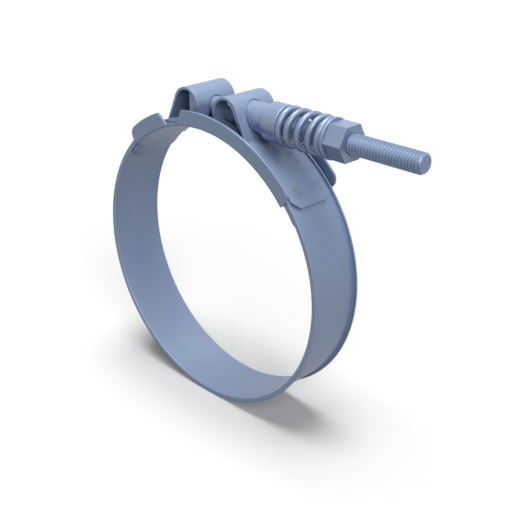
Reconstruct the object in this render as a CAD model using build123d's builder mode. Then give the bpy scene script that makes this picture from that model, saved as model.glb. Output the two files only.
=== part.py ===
from build123d import *
from math import asin, cos, degrees, hypot, radians, sin, sqrt, tan
import os

os.makedirs("parts", exist_ok=True)

# A spring-loaded T-bolt clamp for a hose of about 90 mm.
# The hose runs along Y through the origin, and the bolt lies along X above it, free end to the right.
# Lengths are millimetres. Ring angles are degrees from the top, positive towards the bolt's free end.

# Band: one strip with its edges turned outwards.
bore_radius = 45.5
band_thickness = 0.6
band_width = 19.0
lip_height = 1.6
lip_bend = 0.1
lip_corner = 0.4
band_left_angle = -12.5
band_right_angle = 5.0

# Bridge: a channel inside the band that closes the gap between its ends.
sheet_gap = 0.05
bridge_thickness = 0.8
bridge_bend = 0.1
bridge_corner = 0.85
flange_gap = 0.5
flange_height = 5.0
flange_corner = 3.1
flange_left_angle = -41.7
flange_right_angle = 49.1
tongue_angle = 10.4
tongue_width = 17.8
tongue_corner = 3.0
notch_angle = -15.2
notch_top_width = 11.9
notch_bottom_width = 5.8
notch_floor = 0.15
notch_fillet = 0.8

# Straps: each is bent into a loop that holds one end of the bolt, and is spot-welded to the band.
strap_thickness = 0.85
strap_width = 15.6
left_wall_x = 2.9
right_wall_x = 3.4
loop_radius = 5.35
loop_rise = 0.8
loop_lean_angle = 24.0
wall_bend = 0.9
foot_bend = 2.0
inner_leg_angle = 16.0
strap_end_angle = 52.6
strap_corner = 2.5
weld_angle = 47.0
weld_spacing = 7.8
weld_radius = 1.4
weld_depth = 0.12

# Bolt: an M6 rod with a D-shaped cross head.
rod_radius = 3.0
rod_end = 73.7
rod_chamfer = 0.55
rod_clearance = 0.2
head_fit = 0.05
head_flat_from_wall = 3.75
head_length = 15.4

# Trunnion: the sleeve that the bolt slides through, seated in the right-hand loop.
sleeve_clearance = 0.1
nose_radius = 3.8
nose_end = 9.6
neck_radius = 4.7
neck_start = 12.2
collar_radius = 5.9
collar_start = 20.9
collar_length = 5.7
collar_chamfer = 0.3
saddle_thickness = 0.7
saddle_top_angle = 75.0
saddle_drop = 5.0

# Openings in the straps: a slot for the rod, and a window that the trunnion's neck comes out of.
slot_clearance = 0.25
left_slot_end = 9.0
right_slot_end = 15.2
window_clearance = 0.2

# Spring, washer and nut on the rod.
wire_radius = 0.95
coil_radius = 5.15
spring_length = 16.4
spring_grind = 0.35
closed_turns = 0.6
active_turns = 3.25
pitch_ease = 0.4
coil_start_angle = 247.5
coil_points = 12
washer_radius = 6.0
washer_thickness = 1.2
washer_edge = 0.15
nut_across_flats = 10.0
nut_height = 6.1
nut_corner = 0.12
running_clearance = 0.05

# Places that follow from the sizes above.
band_outer = bore_radius + band_thickness
bridge_outer = bore_radius - sheet_gap
bridge_inner = bridge_outer - bridge_thickness
flange_top = bridge_inner + flange_height
flange_outer = band_width / 2 + flange_gap + bridge_thickness
leg_middle = band_outer + sheet_gap + strap_thickness / 2
strap_top = leg_middle + strap_thickness / 2
bolt_height = band_outer + rod_clearance + rod_radius
loop_height = bolt_height + loop_rise
loop_inner = loop_radius - strap_thickness
spring_start = collar_start + collar_length
spring_end = spring_start + spring_length
nut_start = spring_end + washer_thickness
bolt_axis = Axis((0, 0, bolt_height), (1, 0, 0))


def ring_point(radius, angle):
    """The point at this radius and ring angle, as the XZ plane's two coordinates."""
    return Vector(radius * sin(radians(angle)), radius * cos(radians(angle)))


def ring_plane(angle):
    """The plane through the hose's axis at this ring angle: across the band, then outwards."""
    along_band = (cos(radians(angle)), 0, -sin(radians(angle)))
    return Plane(origin=(0, 0, 0), x_dir=(0, 1, 0), z_dir=along_band)


def ring_arc(radius, start, end):
    """An arc round the hose's axis between two ring angles."""
    middle = ring_point(radius, (start + end) / 2)
    return ThreePointArc(ring_point(radius, start), middle, ring_point(radius, end))


def ring_sector(inner, outer, start, end):
    """The outline between two radii and two ring angles."""
    with BuildLine() as outline:
        ring_arc(inner, start, end)
        Line(ring_point(inner, end), ring_point(outer, end))
        ring_arc(outer, start, end)
        Line(ring_point(outer, start), ring_point(inner, start))
    return outline.line


def channel_section(floor, top, width, thickness, inner_corner, outer_corner):
    """On a ring plane, a channel's section, from its floor's inner radius out to the top of its sides."""
    with Locations((0, floor)):
        Rectangle(width, top - floor, align=(Align.CENTER, Align.MIN))
    with Locations((0, floor + thickness)):
        Rectangle(width - 2 * thickness, top, align=(Align.CENTER, Align.MIN), mode=Mode.SUBTRACT)
    fillet(vertices().sort_by(Axis.Y)[2:4], inner_corner)
    fillet(vertices().sort_by(Axis.Y)[:2], outer_corner)


def arc_about(centre, radius, start, end):
    """An arc round a centre between two angles, counted from X towards Z."""
    points = [
        centre + Vector(radius * cos(radians(angle)), radius * sin(radians(angle)))
        for angle in (start, (start + end) / 2, end)
    ]
    return ThreePointArc(*points)


def strap_blank(wall_x):
    """A right-hand strap, without its openings, whose wall beside the gap stands at wall_x."""
    middle = strap_thickness / 2
    loop_centre = Vector(wall_x + loop_radius, loop_height)
    loop_middle = loop_radius - middle

    # The bend that turns the wall beside the gap into the short leg under the loop.
    heel_distance = leg_middle + wall_bend
    heel_x = wall_x + middle + wall_bend
    heel = Vector(heel_x, sqrt(heel_distance**2 - heel_x**2))
    heel_angle = degrees(asin(heel_x / heel_distance))

    # The bend that turns the leaning wall into the long leg on the band.
    lean = radians(loop_lean_angle)
    outward = Vector(cos(lean), sin(lean))
    downward = Vector(sin(lean), -cos(lean))
    toe_distance = leg_middle + foot_bend
    toe_offset = outward.dot(loop_centre) + loop_middle + foot_bend
    toe = outward * toe_offset - downward * sqrt(toe_distance**2 - toe_offset**2)
    toe_angle = degrees(asin(toe.X / toe_distance))

    with BuildPart() as blank:
        with BuildSketch(Plane.XZ):
            with BuildLine():
                ring_arc(leg_middle, inner_leg_angle, heel_angle)
                arc_about(heel, wall_bend, 270 - heel_angle, 180)
                Line((wall_x + middle, heel.Y), (wall_x + middle, loop_height))
                arc_about(loop_centre, loop_middle, 180, loop_lean_angle)
                Line(loop_centre + outward * loop_middle, toe - outward * foot_bend)
                arc_about(toe, foot_bend, 180 + loop_lean_angle, 270 - toe_angle)
                ring_arc(leg_middle, toe_angle, strap_end_angle)
            trace(line_width=strap_thickness)
        extrude(amount=strap_width / 2, both=True)
        end_point = ring_point(leg_middle, strap_end_angle)
        end_corners = (
            blank.edges()
            .filter_by(lambda edge: abs(edge.length - strap_thickness) < strap_thickness / 100)
            .sort_by(lambda edge: hypot(edge.center().X - end_point.X, edge.center().Z - end_point.Y))
        )
        chamfer(end_corners[:2], strap_corner)
        # Dimples where the long leg is spot-welded to the band.
        weld_ball = (weld_radius**2 + weld_depth**2) / (2 * weld_depth)
        weld = ring_point(strap_top + weld_ball - weld_depth, weld_angle)
        with Locations((weld.X, -weld_spacing / 2, weld.Y), (weld.X, weld_spacing / 2, weld.Y)):
            Sphere(weld_ball, mode=Mode.SUBTRACT)
    return blank.part


def rod_slot(wall_x, slot_end):
    """The rod's slot in a right-hand strap: down through the wall and along the short leg."""
    slot_radius = rod_radius + slot_clearance
    bottom = bridge_inner - strap_thickness
    with BuildPart() as slot:
        with BuildSketch(Plane.YZ.offset(wall_x - strap_thickness)):
            with Locations((0, bolt_height)):
                Circle(slot_radius)
                Rectangle(2 * slot_radius, bolt_height - bottom, align=(Align.CENTER, Align.MAX))
        extrude(amount=2 * strap_thickness + wall_bend)
        with BuildSketch(Plane.XY.offset(bottom)):
            with Locations((wall_x, 0)):
                slot_run = slot_end - slot_radius - wall_x
                Rectangle(slot_run, 2 * slot_radius, align=(Align.MIN, Align.CENTER))
            with Locations((slot_end - slot_radius, 0)):
                Circle(slot_radius)
        extrude(amount=strap_top + strap_thickness / 2 - bottom)
    return slot.part


def neck_window(wall_x):
    """The window in a right-hand strap's leaning wall that the trunnion's neck comes out of."""
    with BuildPart() as window:
        with BuildSketch(Plane.YZ.offset(wall_x + loop_radius)):
            with Locations((0, bolt_height)):
                Circle(neck_radius + window_clearance)
        extrude(amount=3 * loop_radius)
        # The short leg isn't cut by the window.
        with BuildSketch(Plane.XZ):
            make_face(ring_sector(bridge_inner, strap_top + sheet_gap, 0, inner_leg_angle + 1))
        extrude(amount=strap_width, both=True, mode=Mode.SUBTRACT)
    return window.part


# Band
with BuildPart() as band:
    with BuildSketch(ring_plane(band_right_angle)):
        lip_top = bore_radius + lip_height
        channel_section(bore_radius, lip_top, band_width, band_thickness, lip_bend, lip_corner)
    revolve(axis=Axis.Y, revolution_arc=360 - (band_right_angle - band_left_angle))
band.part.label = "band"
export_step(band.part, "parts/band.step")

# Bridge
with BuildPart() as bridge:
    tongue_left_angle = flange_left_angle - tongue_angle
    tongue_right_angle = flange_right_angle + tongue_angle
    with BuildSketch(ring_plane(tongue_left_angle)):
        blank_top = flange_top + bridge_thickness
        channel_section(
            bridge_inner, blank_top, 2 * flange_outer, bridge_thickness, bridge_bend, bridge_corner
        )
    revolve(axis=Axis.Y, revolution_arc=tongue_right_angle - tongue_left_angle)
    # The side view: flanges with rounded ends, the web running on past them, and a notch.
    with BuildSketch(Plane.XZ) as side_view:
        below_web = bridge_inner - bridge_thickness
        make_face(ring_sector(below_web, flange_top, flange_left_angle, flange_right_angle))
        outer_corners = side_view.vertices().sort_by(lambda corner: hypot(corner.X, corner.Y))[-2:]
        fillet(outer_corners, flange_corner)
        notch_radius = bore_radius + notch_floor
        make_face(ring_sector(below_web, notch_radius, 2 * tongue_left_angle, 2 * tongue_right_angle))
        with BuildLine():
            outwards = ring_point(1, notch_angle)
            along = ring_point(1, notch_angle + 90)
            floor = outwards * notch_radius
            mouth = outwards * (2 * flange_top - notch_radius)
            mouth_half_width = notch_top_width - notch_bottom_width / 2
            mouth_left = mouth - along * mouth_half_width
            mouth_right = mouth + along * mouth_half_width
            FilletPolyline(
                mouth_left,
                floor - along * (notch_bottom_width / 2),
                floor + along * (notch_bottom_width / 2),
                mouth_right,
                radius=notch_fillet,
            )
            Line(mouth_right, mouth_left)
        make_face(mode=Mode.SUBTRACT)
    extrude(amount=2 * flange_outer, both=True, mode=Mode.INTERSECT)
    # The tongues are narrower than the channel.
    for side in (-1, 1):
        with BuildSketch(Plane.XZ.offset(side * tongue_width / 2)):
            make_face(ring_sector(below_web, flange_top, 2 * tongue_left_angle, flange_left_angle))
            make_face(ring_sector(below_web, flange_top, flange_right_angle, 2 * tongue_right_angle))
        extrude(amount=side * flange_outer, mode=Mode.SUBTRACT)
    tongue_corners = (
        bridge.edges()
        .filter_by(lambda edge: abs(edge.length - bridge_thickness) < bridge_thickness / 100)
        .sort_by(lambda edge: edge.center().Z)
    )
    fillet(tongue_corners[:4], tongue_corner)
bridge.part.label = "bridge"
export_step(bridge.part, "parts/bridge.step")

# The T-bolt's strap
with BuildPart() as left_strap:
    add(strap_blank(left_wall_x))
    add(rod_slot(left_wall_x, left_slot_end), mode=Mode.SUBTRACT)
    mirror(about=Plane.YZ, mode=Mode.REPLACE)
left_strap.part.label = "left_strap"
export_step(left_strap.part, "parts/left_strap.step")

# The trunnion's strap
with BuildPart() as right_strap:
    add(strap_blank(right_wall_x))
    add(rod_slot(right_wall_x, right_slot_end), mode=Mode.SUBTRACT)
    add(neck_window(right_wall_x), mode=Mode.SUBTRACT)
right_strap.part.label = "right_strap"
export_step(right_strap.part, "parts/right_strap.step")

# T-bolt
with BuildPart() as t_bolt:
    head_flat_x = -(left_wall_x + head_flat_from_wall)
    with BuildSketch(Plane.YZ.offset(head_flat_x)):
        with Locations((0, bolt_height)):
            Circle(rod_radius)
    extrude(amount=rod_end - head_flat_x)
    chamfer(t_bolt.faces().sort_by(Axis.X)[-1].edges(), rod_chamfer)
    with BuildSketch(Plane.XZ):
        with Locations((-(left_wall_x + loop_radius), loop_height)):
            Circle(loop_inner - head_fit)
        with Locations((head_flat_x, strap_top + head_fit)):
            Rectangle(loop_radius, 2 * loop_radius, align=Align.MIN, mode=Mode.INTERSECT)
    extrude(amount=head_length / 2, both=True)
t_bolt.part.label = "t_bolt"
export_step(t_bolt.part, "parts/t_bolt.step")

# Trunnion
with BuildPart() as trunnion:
    saddle_centre = Vector(right_wall_x + loop_radius, loop_height)
    with BuildSketch(Plane.XZ):
        with BuildLine():
            Polyline(
                (right_wall_x, bolt_height),
                (right_wall_x, bolt_height + nose_radius),
                (nose_end, bolt_height + nose_radius),
                (neck_start, bolt_height + neck_radius),
                (collar_start, bolt_height + neck_radius),
                (collar_start, bolt_height + collar_radius - collar_chamfer),
                (collar_start + collar_chamfer, bolt_height + collar_radius),
                (spring_start - collar_chamfer, bolt_height + collar_radius),
                (spring_start, bolt_height + collar_radius - collar_chamfer),
                (spring_start, bolt_height),
                close=True,
            )
        make_face()
    revolve(axis=bolt_axis)
    # The nose ends in a saddle that fits the loop.
    with BuildSketch(Plane.XZ):
        with Locations((saddle_centre.X, loop_height)):
            Rectangle(2 * loop_radius, 4 * loop_radius, align=(Align.MAX, Align.CENTER))
        with Locations(saddle_centre):
            Circle(loop_inner - head_fit, mode=Mode.SUBTRACT)
    extrude(amount=neck_radius, both=True, mode=Mode.SUBTRACT)
    # The saddle plate lies against the loop's leaning wall, from edge to edge of the strap.
    with BuildSketch(Plane.XZ):
        with BuildLine():
            lean = radians(loop_lean_angle)
            saddle_middle = loop_inner - head_fit - saddle_thickness / 2
            arc_about(saddle_centre, saddle_middle, saddle_top_angle, loop_lean_angle)
            saddle_foot = saddle_centre + Vector(cos(lean), sin(lean)) * saddle_middle
            Line(saddle_foot, saddle_foot + Vector(sin(lean), -cos(lean)) * saddle_drop)
        trace(line_width=saddle_thickness)
    extrude(amount=head_length / 2, both=True)
    with BuildSketch(Plane.YZ):
        with Locations((0, bolt_height)):
            Circle(rod_radius + sleeve_clearance)
    extrude(amount=spring_start, mode=Mode.SUBTRACT)
trunnion.part.label = "trunnion"
export_step(trunnion.part, "parts/trunnion.step")

# Spring: wound left-handed, closed and ground at both ends.
with BuildPart() as spring:
    total_turns = active_turns + 2 * closed_turns
    closed_pitch = 2 * wire_radius
    coil_rise = spring_length - 2 * (wire_radius - spring_grind)
    active_pitch = (coil_rise - 2 * closed_turns * closed_pitch) / active_turns
    coil_steps = round(total_turns * coil_points)
    turn_step = total_turns / coil_steps
    coil_x = spring_start + wire_radius - spring_grind
    centres = []
    for step in range(coil_steps + 1):
        angle = radians(coil_start_angle - 360 * step * turn_step)
        centres.append((coil_x, coil_radius * cos(angle), bolt_height + coil_radius * sin(angle)))
        # The pitch opens smoothly from the closed end coils to the active ones.
        turn = (step + 0.5) * turn_step
        from_end = min(turn, total_turns - turn)
        share = min(max((from_end - closed_turns) / pitch_ease + 0.5, 0), 1)
        share = share * share * (3 - 2 * share)
        coil_x += (closed_pitch + (active_pitch - closed_pitch) * share) * turn_step
    with BuildLine() as coil:
        Spline(*centres)
    with BuildSketch(Plane(coil.line @ 0, z_dir=coil.line % 0)):
        Circle(wire_radius)
    sweep(path=coil.line)
    with BuildSketch(Plane.YZ.offset(spring_start)):
        with Locations((0, bolt_height)):
            Circle(2 * coil_radius)
    extrude(amount=spring_length, mode=Mode.INTERSECT)
spring.part.label = "spring"
export_step(spring.part, "parts/spring.step")

# Washer
with BuildPart() as washer:
    with BuildSketch(Plane.YZ.offset(spring_end)):
        with Locations((0, bolt_height)):
            Circle(washer_radius)
            Circle(rod_radius + running_clearance, mode=Mode.SUBTRACT)
    extrude(amount=washer_thickness)
    washer_rims = washer.edges().filter_by(GeomType.CIRCLE).sort_by(lambda edge: edge.radius)[-2:]
    chamfer(washer_rims, washer_edge)
washer.part.label = "washer"
export_step(washer.part, "parts/washer.step")

# Nut
with BuildPart() as nut:
    with BuildSketch(Plane.YZ.offset(nut_start)):
        with Locations((0, bolt_height)):
            RegularPolygon(nut_across_flats / 2, 6, major_radius=False)
    extrude(amount=nut_height)
    # The corners are turned off at 30 degrees on both faces.
    with BuildSketch(Plane.XZ):
        with BuildLine():
            corner_height = bolt_height + nut_across_flats / sqrt(3)
            corner_run = nut_corner * tan(radians(30))
            Polyline(
                (nut_start, bolt_height),
                (nut_start, corner_height - nut_corner),
                (nut_start + corner_run, corner_height),
                (nut_start + nut_height - corner_run, corner_height),
                (nut_start + nut_height, corner_height - nut_corner),
                (nut_start + nut_height, bolt_height),
                close=True,
            )
        make_face()
    revolve(axis=bolt_axis, mode=Mode.INTERSECT)
    with BuildSketch(Plane.YZ.offset(nut_start)):
        with Locations((0, bolt_height)):
            Circle(rod_radius + running_clearance)
    extrude(amount=nut_height, mode=Mode.SUBTRACT)
nut.part.label = "nut"
export_step(nut.part, "parts/nut.step")
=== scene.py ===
import math

import bmesh
import bpy
from mathutils import Matrix, Vector


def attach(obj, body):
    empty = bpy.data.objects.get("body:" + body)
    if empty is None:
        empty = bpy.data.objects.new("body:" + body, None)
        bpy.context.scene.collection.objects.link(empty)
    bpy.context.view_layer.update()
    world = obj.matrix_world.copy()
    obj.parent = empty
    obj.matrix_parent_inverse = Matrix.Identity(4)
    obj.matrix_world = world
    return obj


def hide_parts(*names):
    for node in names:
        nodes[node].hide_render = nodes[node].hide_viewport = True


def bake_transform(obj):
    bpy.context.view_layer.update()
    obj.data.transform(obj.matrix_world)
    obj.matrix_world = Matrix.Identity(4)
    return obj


# A spring-loaded T-bolt hose clamp, in metres. The hose runs along Y through the origin, and
# the bolt lies along X above it. Ring angles are degrees from the top, positive to the right.
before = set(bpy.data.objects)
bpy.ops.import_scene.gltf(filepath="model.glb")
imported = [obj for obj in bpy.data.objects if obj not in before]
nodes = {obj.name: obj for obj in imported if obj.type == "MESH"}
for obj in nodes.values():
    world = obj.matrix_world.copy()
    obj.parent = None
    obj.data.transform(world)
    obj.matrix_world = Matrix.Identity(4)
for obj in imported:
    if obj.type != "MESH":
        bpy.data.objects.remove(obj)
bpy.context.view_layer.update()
MM = 0.001

# Band. Cold-rolled stainless strip, 19 mm wide, with both edges turned outwards. It is rolled
# into a ring that is open at the top, under the bolt.
BORE_RADIUS = 45.5 * MM
BAND_THICKNESS = 0.6 * MM
BAND_WIDTH = 19 * MM
LIP_HEIGHT = 1.6 * MM
LIP_CORNER = 0.4 * MM
LIP_BEND = 0.1 * MM
BAND_ENDS = (5.0, 347.5)
BAND_STEPS = 260
SHEET_EDGE = 0.12 * MM
STRIP_COLOUR = (0.207, 0.277, 0.415)

# The grain of every finish, as cells of noise in a metre, its depth, and how much the blue-grey
# surface acts as bare metal.
FINE_GRAIN = 5200
BROAD_GRAIN = 1100
CLOUD_GRAIN = 95
PIT_GRAIN = 2600
GRAIN_DEPTH = 0.03 * MM
METAL_SHARE = 0.3


class Signal:
    """One output socket of a material's or world's nodes. Arithmetic on it adds Math nodes."""

    def __init__(self, tree, socket=None):
        self.tree = tree
        self.socket = socket

    def node(self, kind, settings, sockets, output=0):
        """Adds a node: its settings first, then the values or links of its sockets."""
        made = self.tree.nodes.new(kind)
        for name, value in settings.items():
            setattr(made, name, value)
        for name, value in sockets.items():
            if isinstance(value, Signal):
                self.tree.links.new(value.socket, made.inputs[name])
            else:
                made.inputs[name].default_value = value
        return Signal(self.tree, made.outputs[output] if made.outputs else None)

    def math(self, operation, first, second):
        return self.node("ShaderNodeMath", {"operation": operation}, {0: first, 1: second})

    def __add__(self, other):
        return self.math("ADD", self, other)

    def __radd__(self, other):
        return self.math("ADD", other, self)

    def __sub__(self, other):
        return self.math("SUBTRACT", self, other)

    def __mul__(self, other):
        return self.math("MULTIPLY", self, other)


def metal(name, colour, roughness, lay, grain=1.0, spots=(), axis_height=0.0):
    """A steel finish. lay says which way its fine lines run: along the ring, round the bolt at
    axis_height, or neither, for a plated or drawn surface. spots are (point, radius) of welds."""
    material = bpy.data.materials.new(name)
    material.use_nodes = True
    tree = material.node_tree
    tree.nodes.clear()
    start = Signal(tree)
    place = start.node("ShaderNodeTexCoord", {}, {}, "Object")
    x, y, z = (start.node("ShaderNodeSeparateXYZ", {}, {"Vector": place}, way) for way in "XYZ")

    def noise(vector, scale, detail):
        sockets = {"Vector": vector, "Scale": scale, "Detail": detail, "Roughness": 0.55}
        return start.node("ShaderNodeTexNoise", {"noise_dimensions": "3D"}, sockets) - 0.5

    def join(first, second, third):
        return start.node("ShaderNodeCombineXYZ", {}, {"X": first, "Y": second, "Z": third})

    def measure(operation, first, second):
        sockets = {0: first, 1: second}
        return start.node("ShaderNodeVectorMath", {"operation": operation}, sockets, "Value")

    if lay == "ring":
        radius = measure("LENGTH", join(x, 0.0, z), (0, 0, 0))
        lines = join((x + z) * 0.03, y, radius)
    elif lay == "bolt":
        radius = measure("LENGTH", join(0.0, y, z - axis_height), (0, 0, 0))
        lines = join(x, y * 0.05, radius + z * 0.05)
    else:
        lines = place
    fine = noise(lines, FINE_GRAIN, 3)
    broad = noise(lines, BROAD_GRAIN, 2)
    cloud = noise(place, CLOUD_GRAIN, 4)
    pits = noise(place, PIT_GRAIN, 2)

    shade = 1 + broad * (0.10 * grain) + fine * (0.08 * grain) + cloud * 0.12
    gloss = roughness + broad * (0.16 * grain) + cloud * 0.16
    for point, size in spots:
        away = measure("DISTANCE", place, point)
        limits = {"From Min": size * 0.8, "From Max": size * 1.9, "To Min": 1.0, "To Max": 0.0}
        blush = start.node(
            "ShaderNodeMapRange", {"interpolation_type": "SMOOTHSTEP"}, {"Value": away, **limits}
        )
        shade = shade - blush * 0.13
        gloss = gloss + blush * 0.08
    tint = start.node(
        "ShaderNodeVectorMath", {"operation": "SCALE"}, {"Vector": colour, "Scale": shade}
    )
    height = fine * grain + pits * 0.35 + broad * (0.8 * grain)
    bump = start.node(
        "ShaderNodeBump", {}, {"Strength": 0.16, "Distance": GRAIN_DEPTH, "Height": height}
    )
    steel = start.node(
        "ShaderNodeBsdfPrincipled",
        {},
        {"Base Color": tint, "Metallic": METAL_SHARE, "Roughness": gloss, "Normal": bump},
    )
    start.node("ShaderNodeOutputMaterial", {}, {"Surface": steel})
    return material


def dress(piece, material):
    """Gives a piece its material."""
    piece.data.materials.clear()
    piece.data.materials.append(material)


def arc(centre, radius, start, end, steps):
    """(point, normal) pairs along an arc. The normals point to the left of the way along it."""
    left = -1 if end > start else 1
    pairs = []
    for step in range(steps + 1):
        angle = math.radians(start + (end - start) * step / steps)
        out = Vector((math.cos(angle), math.sin(angle)))
        pairs.append((centre + out * radius, out * left))
    return pairs


def section(corners, inset):
    """The outline through square corners, given anticlockwise as (x, y, radius, cells along the
    edge after it), with the corners rounded. inset shrinks it all round."""
    count = len(corners)
    points = [Vector(corner[:2]) for corner in corners]
    backs = [(points[i - 1] - points[i]).normalized() for i in range(count)]
    aheads = [(points[(i + 1) % count] - points[i]).normalized() for i in range(count)]
    turns = [1 if ahead.cross(back) > 0 else -1 for back, ahead in zip(backs, aheads)]
    shrunk = [points[i] + (backs[i] + aheads[i]) * inset * turns[i] for i in range(count)]
    outline = []
    for i, (_, _, radius, cells) in enumerate(corners):
        reach = max(radius - inset * turns[i], 0)
        centre = shrunk[i] + (backs[i] + aheads[i]) * reach
        for angle in (0, 22.5, 45, 67.5, 90):
            away = math.radians(angle)
            outline.append(centre - (aheads[i] * math.cos(away) + backs[i] * math.sin(away)) * reach)
        following = shrunk[(i + 1) % count]
        outline += [shrunk[i].lerp(following, cell / cells) for cell in range(1, cells)]
    return outline


def add_piece(name, points, faces):
    """An object with this mesh: doubled points merged, holes filled and faces turned outwards."""
    mesh = bpy.data.meshes.new(name)
    mesh.from_pydata(points, [], faces)
    shape = bmesh.new()
    shape.from_mesh(mesh)
    bmesh.ops.remove_doubles(shape, verts=shape.verts, dist=0.0001 * MM)
    edges = [edge for edge in shape.edges if edge.is_boundary]
    bmesh.ops.holes_fill(shape, edges=edges, sides=0)
    bmesh.ops.recalc_face_normals(shape, faces=shape.faces)
    shape.to_mesh(mesh)
    shape.free()
    piece = bpy.data.objects.new(name, mesh)
    bpy.context.scene.collection.objects.link(piece)
    return piece


def skin(name, rings):
    """A piece whose skin runs over rings of points, closed at both ends."""
    count = len(rings[0])
    faces = []
    for row in range(len(rings) - 1):
        first, second = row * count, (row + 1) * count
        for i in range(count):
            j = (i + 1) % count
            faces.append((first + i, first + j, second + j, second + i))
    return add_piece(name, [point for ring in rings for point in ring], faces)


def shade_smooth(piece, sharp=35):
    """Smooth shading that keeps the edges sharper than this angle."""
    shape = bmesh.new()
    shape.from_mesh(piece.data)
    for face in shape.faces:
        face.smooth = True
    for edge in shape.edges:
        edge.smooth = edge.calc_face_angle(0) < math.radians(sharp)
    shape.to_mesh(piece.data)
    shape.free()
    piece.modifiers.new("even_normals", "WEIGHTED_NORMAL").keep_sharp = True


def rounded_ends(length, inner):
    """(distance along, inset) pairs for a sheet of this length whose cut ends are rounded:
    inner are the distances between."""
    turn = [math.radians(angle) for angle in (90, 60, 30, 0)]
    ends = [(SHEET_EDGE * (1 - math.sin(a)), SHEET_EDGE * (1 - math.cos(a))) for a in turn]
    far = [(length - along, inset) for along, inset in reversed(ends)]
    return ends + [(along, 0.0) for along in inner] + far


edge = BAND_WIDTH / 2
lip_top = BORE_RADIUS + LIP_HEIGHT
floor_top = BORE_RADIUS + BAND_THICKNESS
channel = [
    (-edge, BORE_RADIUS, LIP_CORNER, 1), (edge, BORE_RADIUS, LIP_CORNER, 1),
    (edge, lip_top, SHEET_EDGE, 1), (edge - BAND_THICKNESS, lip_top, SHEET_EDGE, 1),
    (edge - BAND_THICKNESS, floor_top, LIP_BEND, 1), (BAND_THICKNESS - edge, floor_top, LIP_BEND, 1),
    (BAND_THICKNESS - edge, lip_top, SHEET_EDGE, 1), (-edge, lip_top, SHEET_EDGE, 1),
]
band_length = math.radians(BAND_ENDS[1] - BAND_ENDS[0]) * BORE_RADIUS
band_steps = [band_length * step / BAND_STEPS for step in range(1, BAND_STEPS)]
band_rings = []
for along, inset in rounded_ends(band_length, band_steps):
    angle = math.radians(BAND_ENDS[0]) + along / BORE_RADIUS
    outline = section(channel, inset)
    band_rings.append([(p.y * math.sin(angle), p.x, p.y * math.cos(angle)) for p in outline])
band = skin("band_strip", band_rings)
shade_smooth(band)
dress(band, metal("rolled_strip", STRIP_COLOUR, roughness=0.42, lay="ring"))
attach(band, "clamp")
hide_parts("band")

# Bridge. A pressed channel of 0.8 mm sheet that lies inside the band under its gap and holds
# the hose there. Its flanges stand outside the band's lips and are notched, so that it bends.
PRESSED_COLOUR = (0.202, 0.272, 0.409)


def soften(piece, width):
    """Rounds the edges of a solid from the frame by this width."""
    merge = piece.modifiers.new("merge", "WELD")
    merge.merge_threshold = 0.002 * MM
    facets = piece.modifiers.new("facets", "DECIMATE")
    facets.decimate_type = "DISSOLVE"
    facets.angle_limit = math.radians(0.2)
    rounding = piece.modifiers.new("rounding", "BEVEL")
    rounding.width = width
    rounding.segments = 2
    rounding.angle_limit = math.radians(30)
    rounding.harden_normals = True


bridge = nodes["bridge"]
soften(bridge, SHEET_EDGE)
dress(bridge, metal("pressed_sheet", PRESSED_COLOUR, roughness=0.44, lay="ring"))

# Straps. Two strips 15.6 mm wide and 0.85 mm thick, bent over into loops that hold the bolt's
# head and the trunnion, and spot-welded to the band by their long legs.
STRAP_THICKNESS = 0.85 * MM
STRAP_WIDTH = 15.6 * MM
STRAP_FIT = 0.05 * MM
LEG_RADIUS = floor_top + STRAP_FIT + STRAP_THICKNESS / 2
STRAP_TOP = LEG_RADIUS + STRAP_THICKNESS / 2
BOLT_HEIGHT = 49.3 * MM
LOOP_HEIGHT = 50.1 * MM
LOOP_RADIUS = 5.35 * MM
LOOP_FIT = 0.05 * MM
LOOP_LEAN = 24
WALL_BEND = 0.9 * MM
FOOT_BEND = 2 * MM
SHORT_LEG_END = 16
STRAP_END = 52.6
STRAP_CORNER = 2.5 * MM
LEFT_WALL_X = 2.9 * MM
RIGHT_WALL_X = 3.4 * MM
LEFT_SLOT_END = 9 * MM
RIGHT_SLOT_END = 15.2 * MM
SLOT_RADIUS = 3.25 * MM
WINDOW_RADIUS = 4.9 * MM
WINDOW_SIDES = 72
WELD_ANGLE = 47
WELD_SIDE = 3.9 * MM
WELD_RADIUS = 1.5 * MM
WELD_DEPTH = 0.13 * MM
STRAP_CELLS = 52
OPENING_EDGE = 0.09 * MM


def settle(piece):
    """Applies a piece's modifiers to its mesh."""
    evaluated = piece.evaluated_get(bpy.context.evaluated_depsgraph_get())
    mesh = bpy.data.meshes.new_from_object(evaluated)
    piece.modifiers.clear()
    piece.data = mesh


def combine(piece, other, operation):
    """Cuts the other mesh out of a piece, joins it on, or keeps what the two share."""
    joint = piece.modifiers.new("joint", "BOOLEAN")
    joint.operation = operation
    joint.solver = "EXACT"
    joint.object = other
    settle(piece)
    bpy.data.objects.remove(other)


def ring_way(angle):
    """The direction out from the hose's axis at this ring angle."""
    return Vector((math.sin(math.radians(angle)), math.cos(math.radians(angle))))


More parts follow.
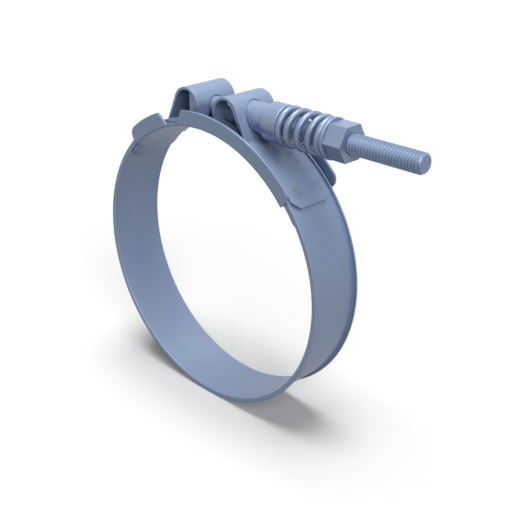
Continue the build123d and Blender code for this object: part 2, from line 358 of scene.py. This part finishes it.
def strap_path(wall_x):
    """(point, normal) pairs along a right-hand strap's middle, as X and Z."""
    middle = STRAP_THICKNESS / 2
    loop = Vector((wall_x + LOOP_RADIUS, LOOP_HEIGHT))
    loop_middle = LOOP_RADIUS - middle
    heel_reach = LEG_RADIUS + WALL_BEND
    heel_x = wall_x + middle + WALL_BEND
    heel = Vector((heel_x, math.sqrt(heel_reach**2 - heel_x**2)))
    heel_angle = math.degrees(math.asin(heel_x / heel_reach))
    lean = math.radians(LOOP_LEAN)
    outward = Vector((math.cos(lean), math.sin(lean)))
    downward = Vector((math.sin(lean), -math.cos(lean)))
    toe_reach = LEG_RADIUS + FOOT_BEND
    toe_offset = outward.dot(loop) + loop_middle + FOOT_BEND
    toe = outward * toe_offset - downward * math.sqrt(toe_reach**2 - toe_offset**2)
    toe_angle = math.degrees(math.asin(toe.x / toe_reach))
    centre = Vector((0, 0))
    path = arc(centre, LEG_RADIUS, 90 - SHORT_LEG_END, 90 - heel_angle, 14)
    path += arc(heel, WALL_BEND, 270 - heel_angle, 180, 8)
    path += arc(loop, loop_middle, 180, LOOP_LEAN, 28)
    path += arc(toe, FOOT_BEND, 180 + LOOP_LEAN, 270 - toe_angle, 8)
    return path + arc(centre, LEG_RADIUS, 90 - toe_angle, 90 - STRAP_END, 80)[1:]


def bent_strip(name, wall_x):
    """The strap's strip, bent to shape but still without its openings."""
    path = strap_path(wall_x)
    lengths = [0.0]
    for (before, _), (after, _) in zip(path, path[1:]):
        lengths.append(lengths[-1] + (after - before).length)
    total = lengths[-1]
    inner = [along for along in lengths if SHEET_EDGE < along < total - SHEET_EDGE]
    rings = []
    index = 0
    for along, inset in rounded_ends(total, inner):
        while index < len(path) - 2 and lengths[index + 1] < along:
            index += 1
        share = (along - lengths[index]) / (lengths[index + 1] - lengths[index])
        point = path[index][0].lerp(path[index + 1][0], share)
        normal = path[index][1].lerp(path[index + 1][1], share).normalized()
        side = STRAP_WIDTH / 2 - max(0.0, STRAP_CORNER - (total - along))
        half = STRAP_THICKNESS / 2
        sheet = [
            (-side, -half, SHEET_EDGE, STRAP_CELLS), (side, -half, SHEET_EDGE, 1),
            (side, half, SHEET_EDGE, STRAP_CELLS), (-side, half, SHEET_EDGE, 1),
        ]
        outline = section(sheet, inset)
        rings.append([(point.x + normal.x * p.y, p.x, point.y + normal.y * p.y) for p in outline])
    return skin(name, rings)


def press_welds(piece):
    """The shallow dimples that the spot welder's electrodes leave in the long leg."""
    way = ring_way(WELD_ANGLE)
    for side in (-1, 1):
        spot = Vector((way.x * STRAP_TOP, side * WELD_SIDE, way.y * STRAP_TOP))
        for vertex in piece.data.vertices:
            away = (vertex.co - spot).length / WELD_RADIUS
            if away < 1 and math.hypot(vertex.co.x, vertex.co.z) > LEG_RADIUS:
                vertex.co -= Vector((way.x, 0, way.y)) * WELD_DEPTH * (1 - away**2) ** 2


def slot_cutters(wall_x, slot_end):
    """The rod's slot, down the wall beside the gap and on along the short leg."""
    bottom = LEG_RADIUS - 3 * STRAP_THICKNESS
    arch = [Vector((p.x, p.y)) for p, _ in arc(Vector((0, BOLT_HEIGHT)), SLOT_RADIUS, 0, 180, 32)]
    arch += [Vector((-SLOT_RADIUS, bottom)), Vector((SLOT_RADIUS, bottom))]
    faces_at = (wall_x - STRAP_THICKNESS, wall_x + STRAP_THICKNESS + WALL_BEND)
    wall_cut = skin("slot_cut", [[(x, p.x, p.y) for p in arch] for x in faces_at])
    round_end = [p for p, _ in arc(Vector((slot_end - SLOT_RADIUS, 0)), SLOT_RADIUS, -90, 90, 32)]
    round_end += [Vector((wall_x, SLOT_RADIUS)), Vector((wall_x, -SLOT_RADIUS))]
    heights = (bottom, STRAP_TOP + STRAP_THICKNESS / 2)
    leg_cut = skin("leg_cut", [[(p.x, p.y, z) for p in round_end] for z in heights])
    return [wall_cut, leg_cut]


def window_cutter(wall_x):
    """The round window for the trunnion's neck. It starts along the leaning wall, clear of the
    short leg."""
    last = 360 - 360 / WINDOW_SIDES
    hole = arc(Vector((0, BOLT_HEIGHT)), WINDOW_RADIUS, 0, last, WINDOW_SIDES - 1)
    slope = math.tan(math.radians(LOOP_LEAN))
    start = wall_x + 2 * LOOP_RADIUS + (BOLT_HEIGHT - WINDOW_RADIUS) * slope
    inside = [(start - p.y * slope, p.x, p.y) for p, _ in hole]
    outside = [(start - p.y * slope + 2 * LOOP_RADIUS, p.x, p.y) for p, _ in hole]
    return skin("window_cut", [inside, outside])


def cut_openings(piece, cutters):
    """Cuts the openings out of a strap and rounds their edges."""
    for cutter in cutters:
        combine(piece, cutter, "DIFFERENCE")
    rounding = piece.modifiers.new("rounding", "BEVEL")
    rounding.width = OPENING_EDGE
    rounding.segments = 2
    rounding.angle_limit = math.radians(50)
    settle(piece)


def weld_spots(side):
    """The faint heat tint round each spot weld, as (point, radius)."""
    way = ring_way(WELD_ANGLE) * STRAP_TOP
    return [((side * way.x, y, way.y), WELD_RADIUS) for y in (-WELD_SIDE, WELD_SIDE)]


# The left strap is made as a right-hand one and mirrored.
left_strap = bent_strip("bolt_strap", LEFT_WALL_X)
press_welds(left_strap)
cut_openings(left_strap, slot_cutters(LEFT_WALL_X, LEFT_SLOT_END))
left_strap.data.transform(Matrix.Scale(-1, 4, (1, 0, 0)))
left_strap.data.flip_normals()
right_strap = bent_strip("trunnion_strap", RIGHT_WALL_X)
press_welds(right_strap)
trunnion_cuts = slot_cutters(RIGHT_WALL_X, RIGHT_SLOT_END) + [window_cutter(RIGHT_WALL_X)]
cut_openings(right_strap, trunnion_cuts)
for piece, node, side in ((left_strap, "left_strap", -1), (right_strap, "right_strap", 1)):
    shade_smooth(piece)
    spots = weld_spots(side)
    finish = metal(node + "_sheet", STRIP_COLOUR, roughness=0.4, lay="ring", spots=spots)
    dress(piece, finish)
    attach(piece, "clamp")
    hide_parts(node)

# T-bolt. An M6 rod with a D-shaped cross head, headed hot from one bar. The thread is rolled
# on and runs from inside the trunnion to the chamfered end.
ROD_RADIUS = 3 * MM
ROD_END = 73.7 * MM
THREAD_START = 23 * MM
THREAD_ROOT = 2.45 * MM
PITCH = 1 * MM
HEAD_FLAT = -6.65 * MM
SHANK_START = HEAD_FLAT + 0.4 * MM
HEAD_CENTRE = -(LEFT_WALL_X + LOOP_RADIUS)
HEAD_RADIUS = LOOP_RADIUS - STRAP_THICKNESS - LOOP_FIT
HEAD_FLOOR = STRAP_TOP + LOOP_FIT
HEAD_LENGTH = 15.4 * MM
HEAD_EDGE = 0.3 * MM
FORGED_COLOUR = (0.197, 0.264, 0.396)
ROD_SIDES = 48

# One turn of the thread's profile: share of the pitch, and depth as a share of the whole.
thread_profile = (
    (0.0, 0.0), (0.06, 0.0), (0.12, 0.14), (0.34, 0.88),
    (0.42, 1.0), (0.58, 1.0), (0.66, 0.88), (0.88, 0.14),
)
per_turn = len(thread_profile)
thread_turns = math.ceil((ROD_END - THREAD_START) / PITCH) + 2
rod_points = []
for row in range(-per_turn, per_turn * thread_turns):
    turn, step = divmod(row, per_turn)
    share, depth = thread_profile[step]
    for side in range(ROD_SIDES):
        along = THREAD_START + PITCH * (turn + share + side / ROD_SIDES)
        along = min(max(along, THREAD_START), ROD_END)
        grown = min(1.0, (along - THREAD_START) / (2 * PITCH))
        radius = ROD_RADIUS - (ROD_RADIUS - THREAD_ROOT) * depth * grown
        radius = min(radius, THREAD_ROOT + ROD_END - along)
        angle = 2 * math.pi * side / ROD_SIDES
        rod_points.append(
            (along, radius * math.cos(angle), BOLT_HEIGHT + radius * math.sin(angle))
        )
rod_faces = []
rows = len(rod_points) // ROD_SIDES
for row in range(rows - 1):
    for side in range(ROD_SIDES):
        first = row * ROD_SIDES + side
        second = first + 1 if side < ROD_SIDES - 1 else (row + per_turn) * ROD_SIDES
        if second + ROD_SIDES < len(rod_points):
            rod_faces.append((first, second, second + ROD_SIDES, first + ROD_SIDES))
shank = len(rod_points)
rod_points += [(SHANK_START, y, z) for _, y, z in rod_points[:ROD_SIDES]]
for side in range(ROD_SIDES):
    after = (side + 1) % ROD_SIDES
    rod_faces.append((shank + side, shank + after, after, side))
t_bolt = add_piece("t_bolt_forging", rod_points, rod_faces)

# The head is a segment of a round bar that lies across the rod. Its round side bears on the
# loop's wall, and it is flat on the side away from the rod and underneath.
corner_z = math.sqrt(HEAD_RADIUS**2 - (HEAD_FLAT - HEAD_CENTRE) ** 2)
corner_x = math.sqrt(HEAD_RADIUS**2 - (LOOP_HEIGHT - HEAD_FLOOR) ** 2)
head_rim = [(HEAD_FLAT, HEAD_FLOOR), (HEAD_CENTRE + corner_x, HEAD_FLOOR)]
for point, _ in arc(Vector((HEAD_CENTRE, LOOP_HEIGHT)), HEAD_RADIUS, -90, 90, 48):
    if point.x > HEAD_FLAT and point.y > HEAD_FLOOR:
        head_rim.append((point.x, point.y))
head_rim.append((HEAD_FLAT, LOOP_HEIGHT + corner_z))
head = skin("head", [[(x, side * HEAD_LENGTH / 2, z) for x, z in head_rim] for side in (-1, 1)])
rounding = head.modifiers.new("rounding", "BEVEL")
rounding.width = HEAD_EDGE
rounding.segments = 3
rounding.angle_limit = math.radians(30)
settle(head)
combine(t_bolt, head, "UNION")
shade_smooth(t_bolt, 40)
forged = metal(
    "forged_bolt", FORGED_COLOUR, roughness=0.38, lay="bolt", grain=0.6, axis_height=BOLT_HEIGHT
)
dress(t_bolt, forged)
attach(t_bolt, "clamp")
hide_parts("t_bolt")

# Trunnion. A turned sleeve that the rod slides through. Its nose and saddle sit in the right
# loop, its neck comes out of the window, and the spring bears on its collar.
TURNED_SIDES = 72
SLEEVE_BORE = 3.1 * MM
NOSE_RADIUS = 3.8 * MM
NOSE_END = 9.6 * MM
NECK_RADIUS = 4.7 * MM
NECK_START = 12.2 * MM
COLLAR_RADIUS = 5.9 * MM
COLLAR_ENDS = (20.9 * MM, 26.6 * MM)
COLLAR_EDGE = 0.3 * MM
SADDLE_X = RIGHT_WALL_X + LOOP_RADIUS
SADDLE_TOP = 75
SADDLE_DROP = 5 * MM
SADDLE_THICKNESS = 0.7 * MM
CRADLE_END = 40 * MM
CRADLE_SIDE = 8 * MM
TURNED_COLOUR = (0.216, 0.286, 0.424)


def turned(name, profile):
    """A piece turned round the bolt's axis from (x, radius) points."""
    turns = [2 * math.pi * side / TURNED_SIDES for side in range(TURNED_SIDES)]
    rings = [
        [(x, r * math.cos(turn), BOLT_HEIGHT + r * math.sin(turn)) for turn in turns]
        for x, r in profile
    ]
    return skin(name, rings)


collar_start, collar_end = COLLAR_ENDS
rim_height = COLLAR_RADIUS - COLLAR_EDGE
collar_rim = arc(Vector((collar_start + COLLAR_EDGE, rim_height)), COLLAR_EDGE, 180, 90, 4)
collar_rim += arc(Vector((collar_end - COLLAR_EDGE, rim_height)), COLLAR_EDGE, 90, 0, 4)
sleeve_profile = [
    (RIGHT_WALL_X, NOSE_RADIUS), (NOSE_END, NOSE_RADIUS),
    (NECK_START, NECK_RADIUS), (collar_start, NECK_RADIUS),
]
sleeve_profile += [(p.x, p.y) for p, _ in collar_rim] + [(collar_end, SLEEVE_BORE)]
trunnion = turned("trunnion_sleeve", sleeve_profile)

# The nose's end is rounded to fit the loop's wall beside the gap. The saddle plate lies inside
# the leaning wall, from near its top to below the rod's middle.
saddle_reach = LOOP_RADIUS - STRAP_THICKNESS - LOOP_FIT
saddle_centre = Vector((SADDLE_X, LOOP_HEIGHT))
cradle = [p for p, _ in arc(saddle_centre, saddle_reach, 90, 270, 48)]
low, high = BOLT_HEIGHT - CRADLE_SIDE, BOLT_HEIGHT + CRADLE_SIDE
cradle += [Vector((SADDLE_X, low)), Vector((CRADLE_END, low))]
cradle += [Vector((CRADLE_END, high)), Vector((SADDLE_X, high))]
cradle_ends = (-CRADLE_SIDE, CRADLE_SIDE)
cradle_block = skin("cradle", [[(p.x, y, p.y) for p in cradle] for y in cradle_ends])
combine(trunnion, cradle_block, "INTERSECT")
half = SADDLE_THICKNESS / 2
plate_line = arc(saddle_centre, saddle_reach - half, SADDLE_TOP, LOOP_LEAN, 20)
foot, across = plate_line[-1]
plate_line.append((foot + Vector((across.y, -across.x)) * SADDLE_DROP, across))
plate_outline = [p + way * half for p, way in plate_line]
plate_outline += [p - way * half for p, way in reversed(plate_line)]
plate_ends = (-HEAD_LENGTH / 2, HEAD_LENGTH / 2)
plate = skin("plate", [[(p.x, y, p.y) for p in plate_outline] for y in plate_ends])
combine(trunnion, plate, "UNION")
bore_cut = turned("bore_cut", [(0, SLEEVE_BORE), (CRADLE_END, SLEEVE_BORE)])
combine(trunnion, bore_cut, "DIFFERENCE")
shade_smooth(trunnion)
sleeve_finish = metal(
    "turned_sleeve", TURNED_COLOUR, roughness=0.36, lay="bolt", axis_height=BOLT_HEIGHT
)
dress(trunnion, sleeve_finish)
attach(trunnion, "clamp")
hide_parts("trunnion")

# Spring. 1.9 mm spring wire, wound left-handed, with its end coils closed and ground flat. It
# lies between the collar and the washer, and in the clamp it shortens as the nut is turned
# inwards; here it is built at one length.
WIRE_RADIUS = 0.95 * MM
COIL_RADIUS = 5.15 * MM
SPRING_ENDS = (COLLAR_ENDS[1], 43.0 * MM)
SPRING_GRIND = 0.35 * MM
CLOSED_TURNS = 0.6
ACTIVE_TURNS = 3.25
PITCH_EASE = 0.4
COIL_START = 247.5
WIRE_SIDES = 24
STEPS_PER_TURN = 44
WIRE_COLOUR = (0.207, 0.277, 0.415)

total_turns = ACTIVE_TURNS + 2 * CLOSED_TURNS
closed_pitch = 2 * WIRE_RADIUS
coil_rise = SPRING_ENDS[1] - SPRING_ENDS[0] - 2 * (WIRE_RADIUS - SPRING_GRIND)
active_pitch = (coil_rise - 2 * CLOSED_TURNS * closed_pitch) / ACTIVE_TURNS
coil_steps = round(total_turns * STEPS_PER_TURN)
coil_x = SPRING_ENDS[0] + WIRE_RADIUS - SPRING_GRIND
coil = []
for step in range(coil_steps + 1):
    angle = math.radians(COIL_START - 360 * total_turns * step / coil_steps)
    coil.append((coil_x, angle))
    from_end = (step + 0.5) * total_turns / coil_steps
    from_end = min(from_end, total_turns - from_end)
    share = min(max((from_end - CLOSED_TURNS) / PITCH_EASE + 0.5, 0), 1)
    share = share * share * (3 - 2 * share)
    coil_x += (closed_pitch + (active_pitch - closed_pitch) * share) * total_turns / coil_steps
wire_rings = []
for coil_x, angle in coil:
    out = Vector((0, math.cos(angle), math.sin(angle)))
    ring = []
    for side in range(WIRE_SIDES):
        around = 2 * math.pi * side / WIRE_SIDES
        reach = COIL_RADIUS + WIRE_RADIUS * math.cos(around)
        x = coil_x + WIRE_RADIUS * math.sin(around)
        x = min(max(x, SPRING_ENDS[0]), SPRING_ENDS[1])
        ring.append((x, reach * out.y, BOLT_HEIGHT + reach * out.z))
    wire_rings.append(ring)
spring = skin("coil_spring", wire_rings)
shade_smooth(spring, 50)
wire_finish = metal("spring_wire", WIRE_COLOUR, roughness=0.34, lay="drawn", grain=0.5)
dress(spring, wire_finish)
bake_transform(spring)
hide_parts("spring")

# Washer. A flat washer between the spring and the nut, blanked from sheet and plated.
WASHER_EDGE = 0.08 * MM
WASHER_COLOUR = (0.212, 0.282, 0.419)
washer = nodes["washer"]
soften(washer, WASHER_EDGE)
washer_finish = metal("plated_washer", WASHER_COLOUR, roughness=0.36, lay="none", grain=0.5)
dress(washer, washer_finish)

# Nut. A hex nut, 10 mm across its flats, cold-formed and plated. Its corners are turned off.
NUT_EDGE = 0.1 * MM
NUT_COLOUR = (0.216, 0.286, 0.424)
nut = nodes["nut"]
soften(nut, NUT_EDGE)
nut_finish = metal("plated_nut", NUT_COLOUR, roughness=0.34, lay="none", grain=0.5)
dress(nut, nut_finish)

# Studio. A wide pale floor under the ring, a broad soft light overhead, a weaker one beside the
# camera, and a little light from all round. The floor and its surroundings show as white.
FLOOR_HEIGHT = -lip_top - 0.05 * MM
FLOOR_REACH = 6.0
FLOOR_COLOUR = (0.62, 0.62, 0.62, 1)
FLOOR_BOUNCE = (0.06, 0.06, 0.06, 1)
FLOOR_GLOW = 0.06
SKY_LEVEL = 0.05
OVERHEAD_STRENGTH = 3.7
SIDE_WAY = (0.7, -0.45, 0.55)
SIDE_STRENGTH = 1.9
LIGHT_SPREAD = 35
CAMERA_PLACE = Vector((0.19706, -0.18476, 0.12489))
CAMERA_WAY = Vector((-0.63888, 0.64458, -0.41995))
CAMERA_UP = Vector((-0.29686, 0.29704, 0.90755))
LENS = 64.53


def seen_directly(start):
    """1 for what the camera sees, also by reflection, and 0 for the light that falls on things."""
    path = [
        start.node("ShaderNodeLightPath", {}, {}, name)
        for name in ("Is Camera Ray", "Is Glossy Ray", "Is Transmission Ray")
    ]
    return path[0] + path[1] + path[2]


bpy.ops.mesh.primitive_circle_add(
    vertices=96, radius=FLOOR_REACH, fill_type="NGON", location=(0, 0, FLOOR_HEIGHT)
)
floor = bpy.context.object
floor.name = "studio_floor"
floor_material = bpy.data.materials.new("pale_floor")
floor_material.use_nodes = True
floor_material.node_tree.nodes.clear()
start = Signal(floor_material.node_tree)
shown = start.node("ShaderNodeBsdfDiffuse", {}, {"Color": FLOOR_COLOUR})
bounced = start.node("ShaderNodeBsdfDiffuse", {}, {"Color": FLOOR_BOUNCE})
glow = start.node("ShaderNodeEmission", {}, {"Color": (1, 1, 1, 1), "Strength": FLOOR_GLOW})
shown = start.node("ShaderNodeAddShader", {}, {0: shown, 1: glow})
surface = start.node("ShaderNodeMixShader", {}, {0: seen_directly(start), 1: bounced, 2: shown})
start.node("ShaderNodeOutputMaterial", {}, {"Surface": surface})
floor.data.materials.append(floor_material)


def soft_light(name, way, strength):
    """A broad light that comes from this way."""
    light = bpy.data.lights.new(name, "SUN")
    light.energy = strength
    light.angle = math.radians(LIGHT_SPREAD)
    lamp = bpy.data.objects.new(name, light)
    lamp.rotation_mode = "QUATERNION"
    lamp.rotation_quaternion = (-Vector(way)).to_track_quat("-Z", "Y")
    bpy.context.scene.collection.objects.link(lamp)


soft_light("overhead_light", (0, 0, 1), OVERHEAD_STRENGTH)
soft_light("side_light", SIDE_WAY, SIDE_STRENGTH)

world = bpy.data.worlds.new("studio")
bpy.context.scene.world = world
world.use_nodes = True
world.node_tree.nodes.clear()
start = Signal(world.node_tree)
level = SKY_LEVEL + seen_directly(start) * (1 - SKY_LEVEL)
sky = start.node("ShaderNodeBackground", {}, {"Color": (1, 1, 1, 1), "Strength": level})
start.node("ShaderNodeOutputWorld", {}, {"Surface": sky})

camera = bpy.data.cameras.new("camera")
camera.lens = LENS
camera.clip_start = 0.01
viewer = bpy.data.objects.new("camera", camera)
bpy.context.scene.collection.objects.link(viewer)
right = CAMERA_WAY.cross(CAMERA_UP).normalized()
up = right.cross(CAMERA_WAY).normalized()
turned_to = Matrix((right, up, -CAMERA_WAY)).transposed().to_4x4()
viewer.matrix_world = Matrix.Translation(CAMERA_PLACE) @ turned_to
bpy.context.scene.camera = viewer
bpy.context.scene.view_settings.view_transform = "Standard"
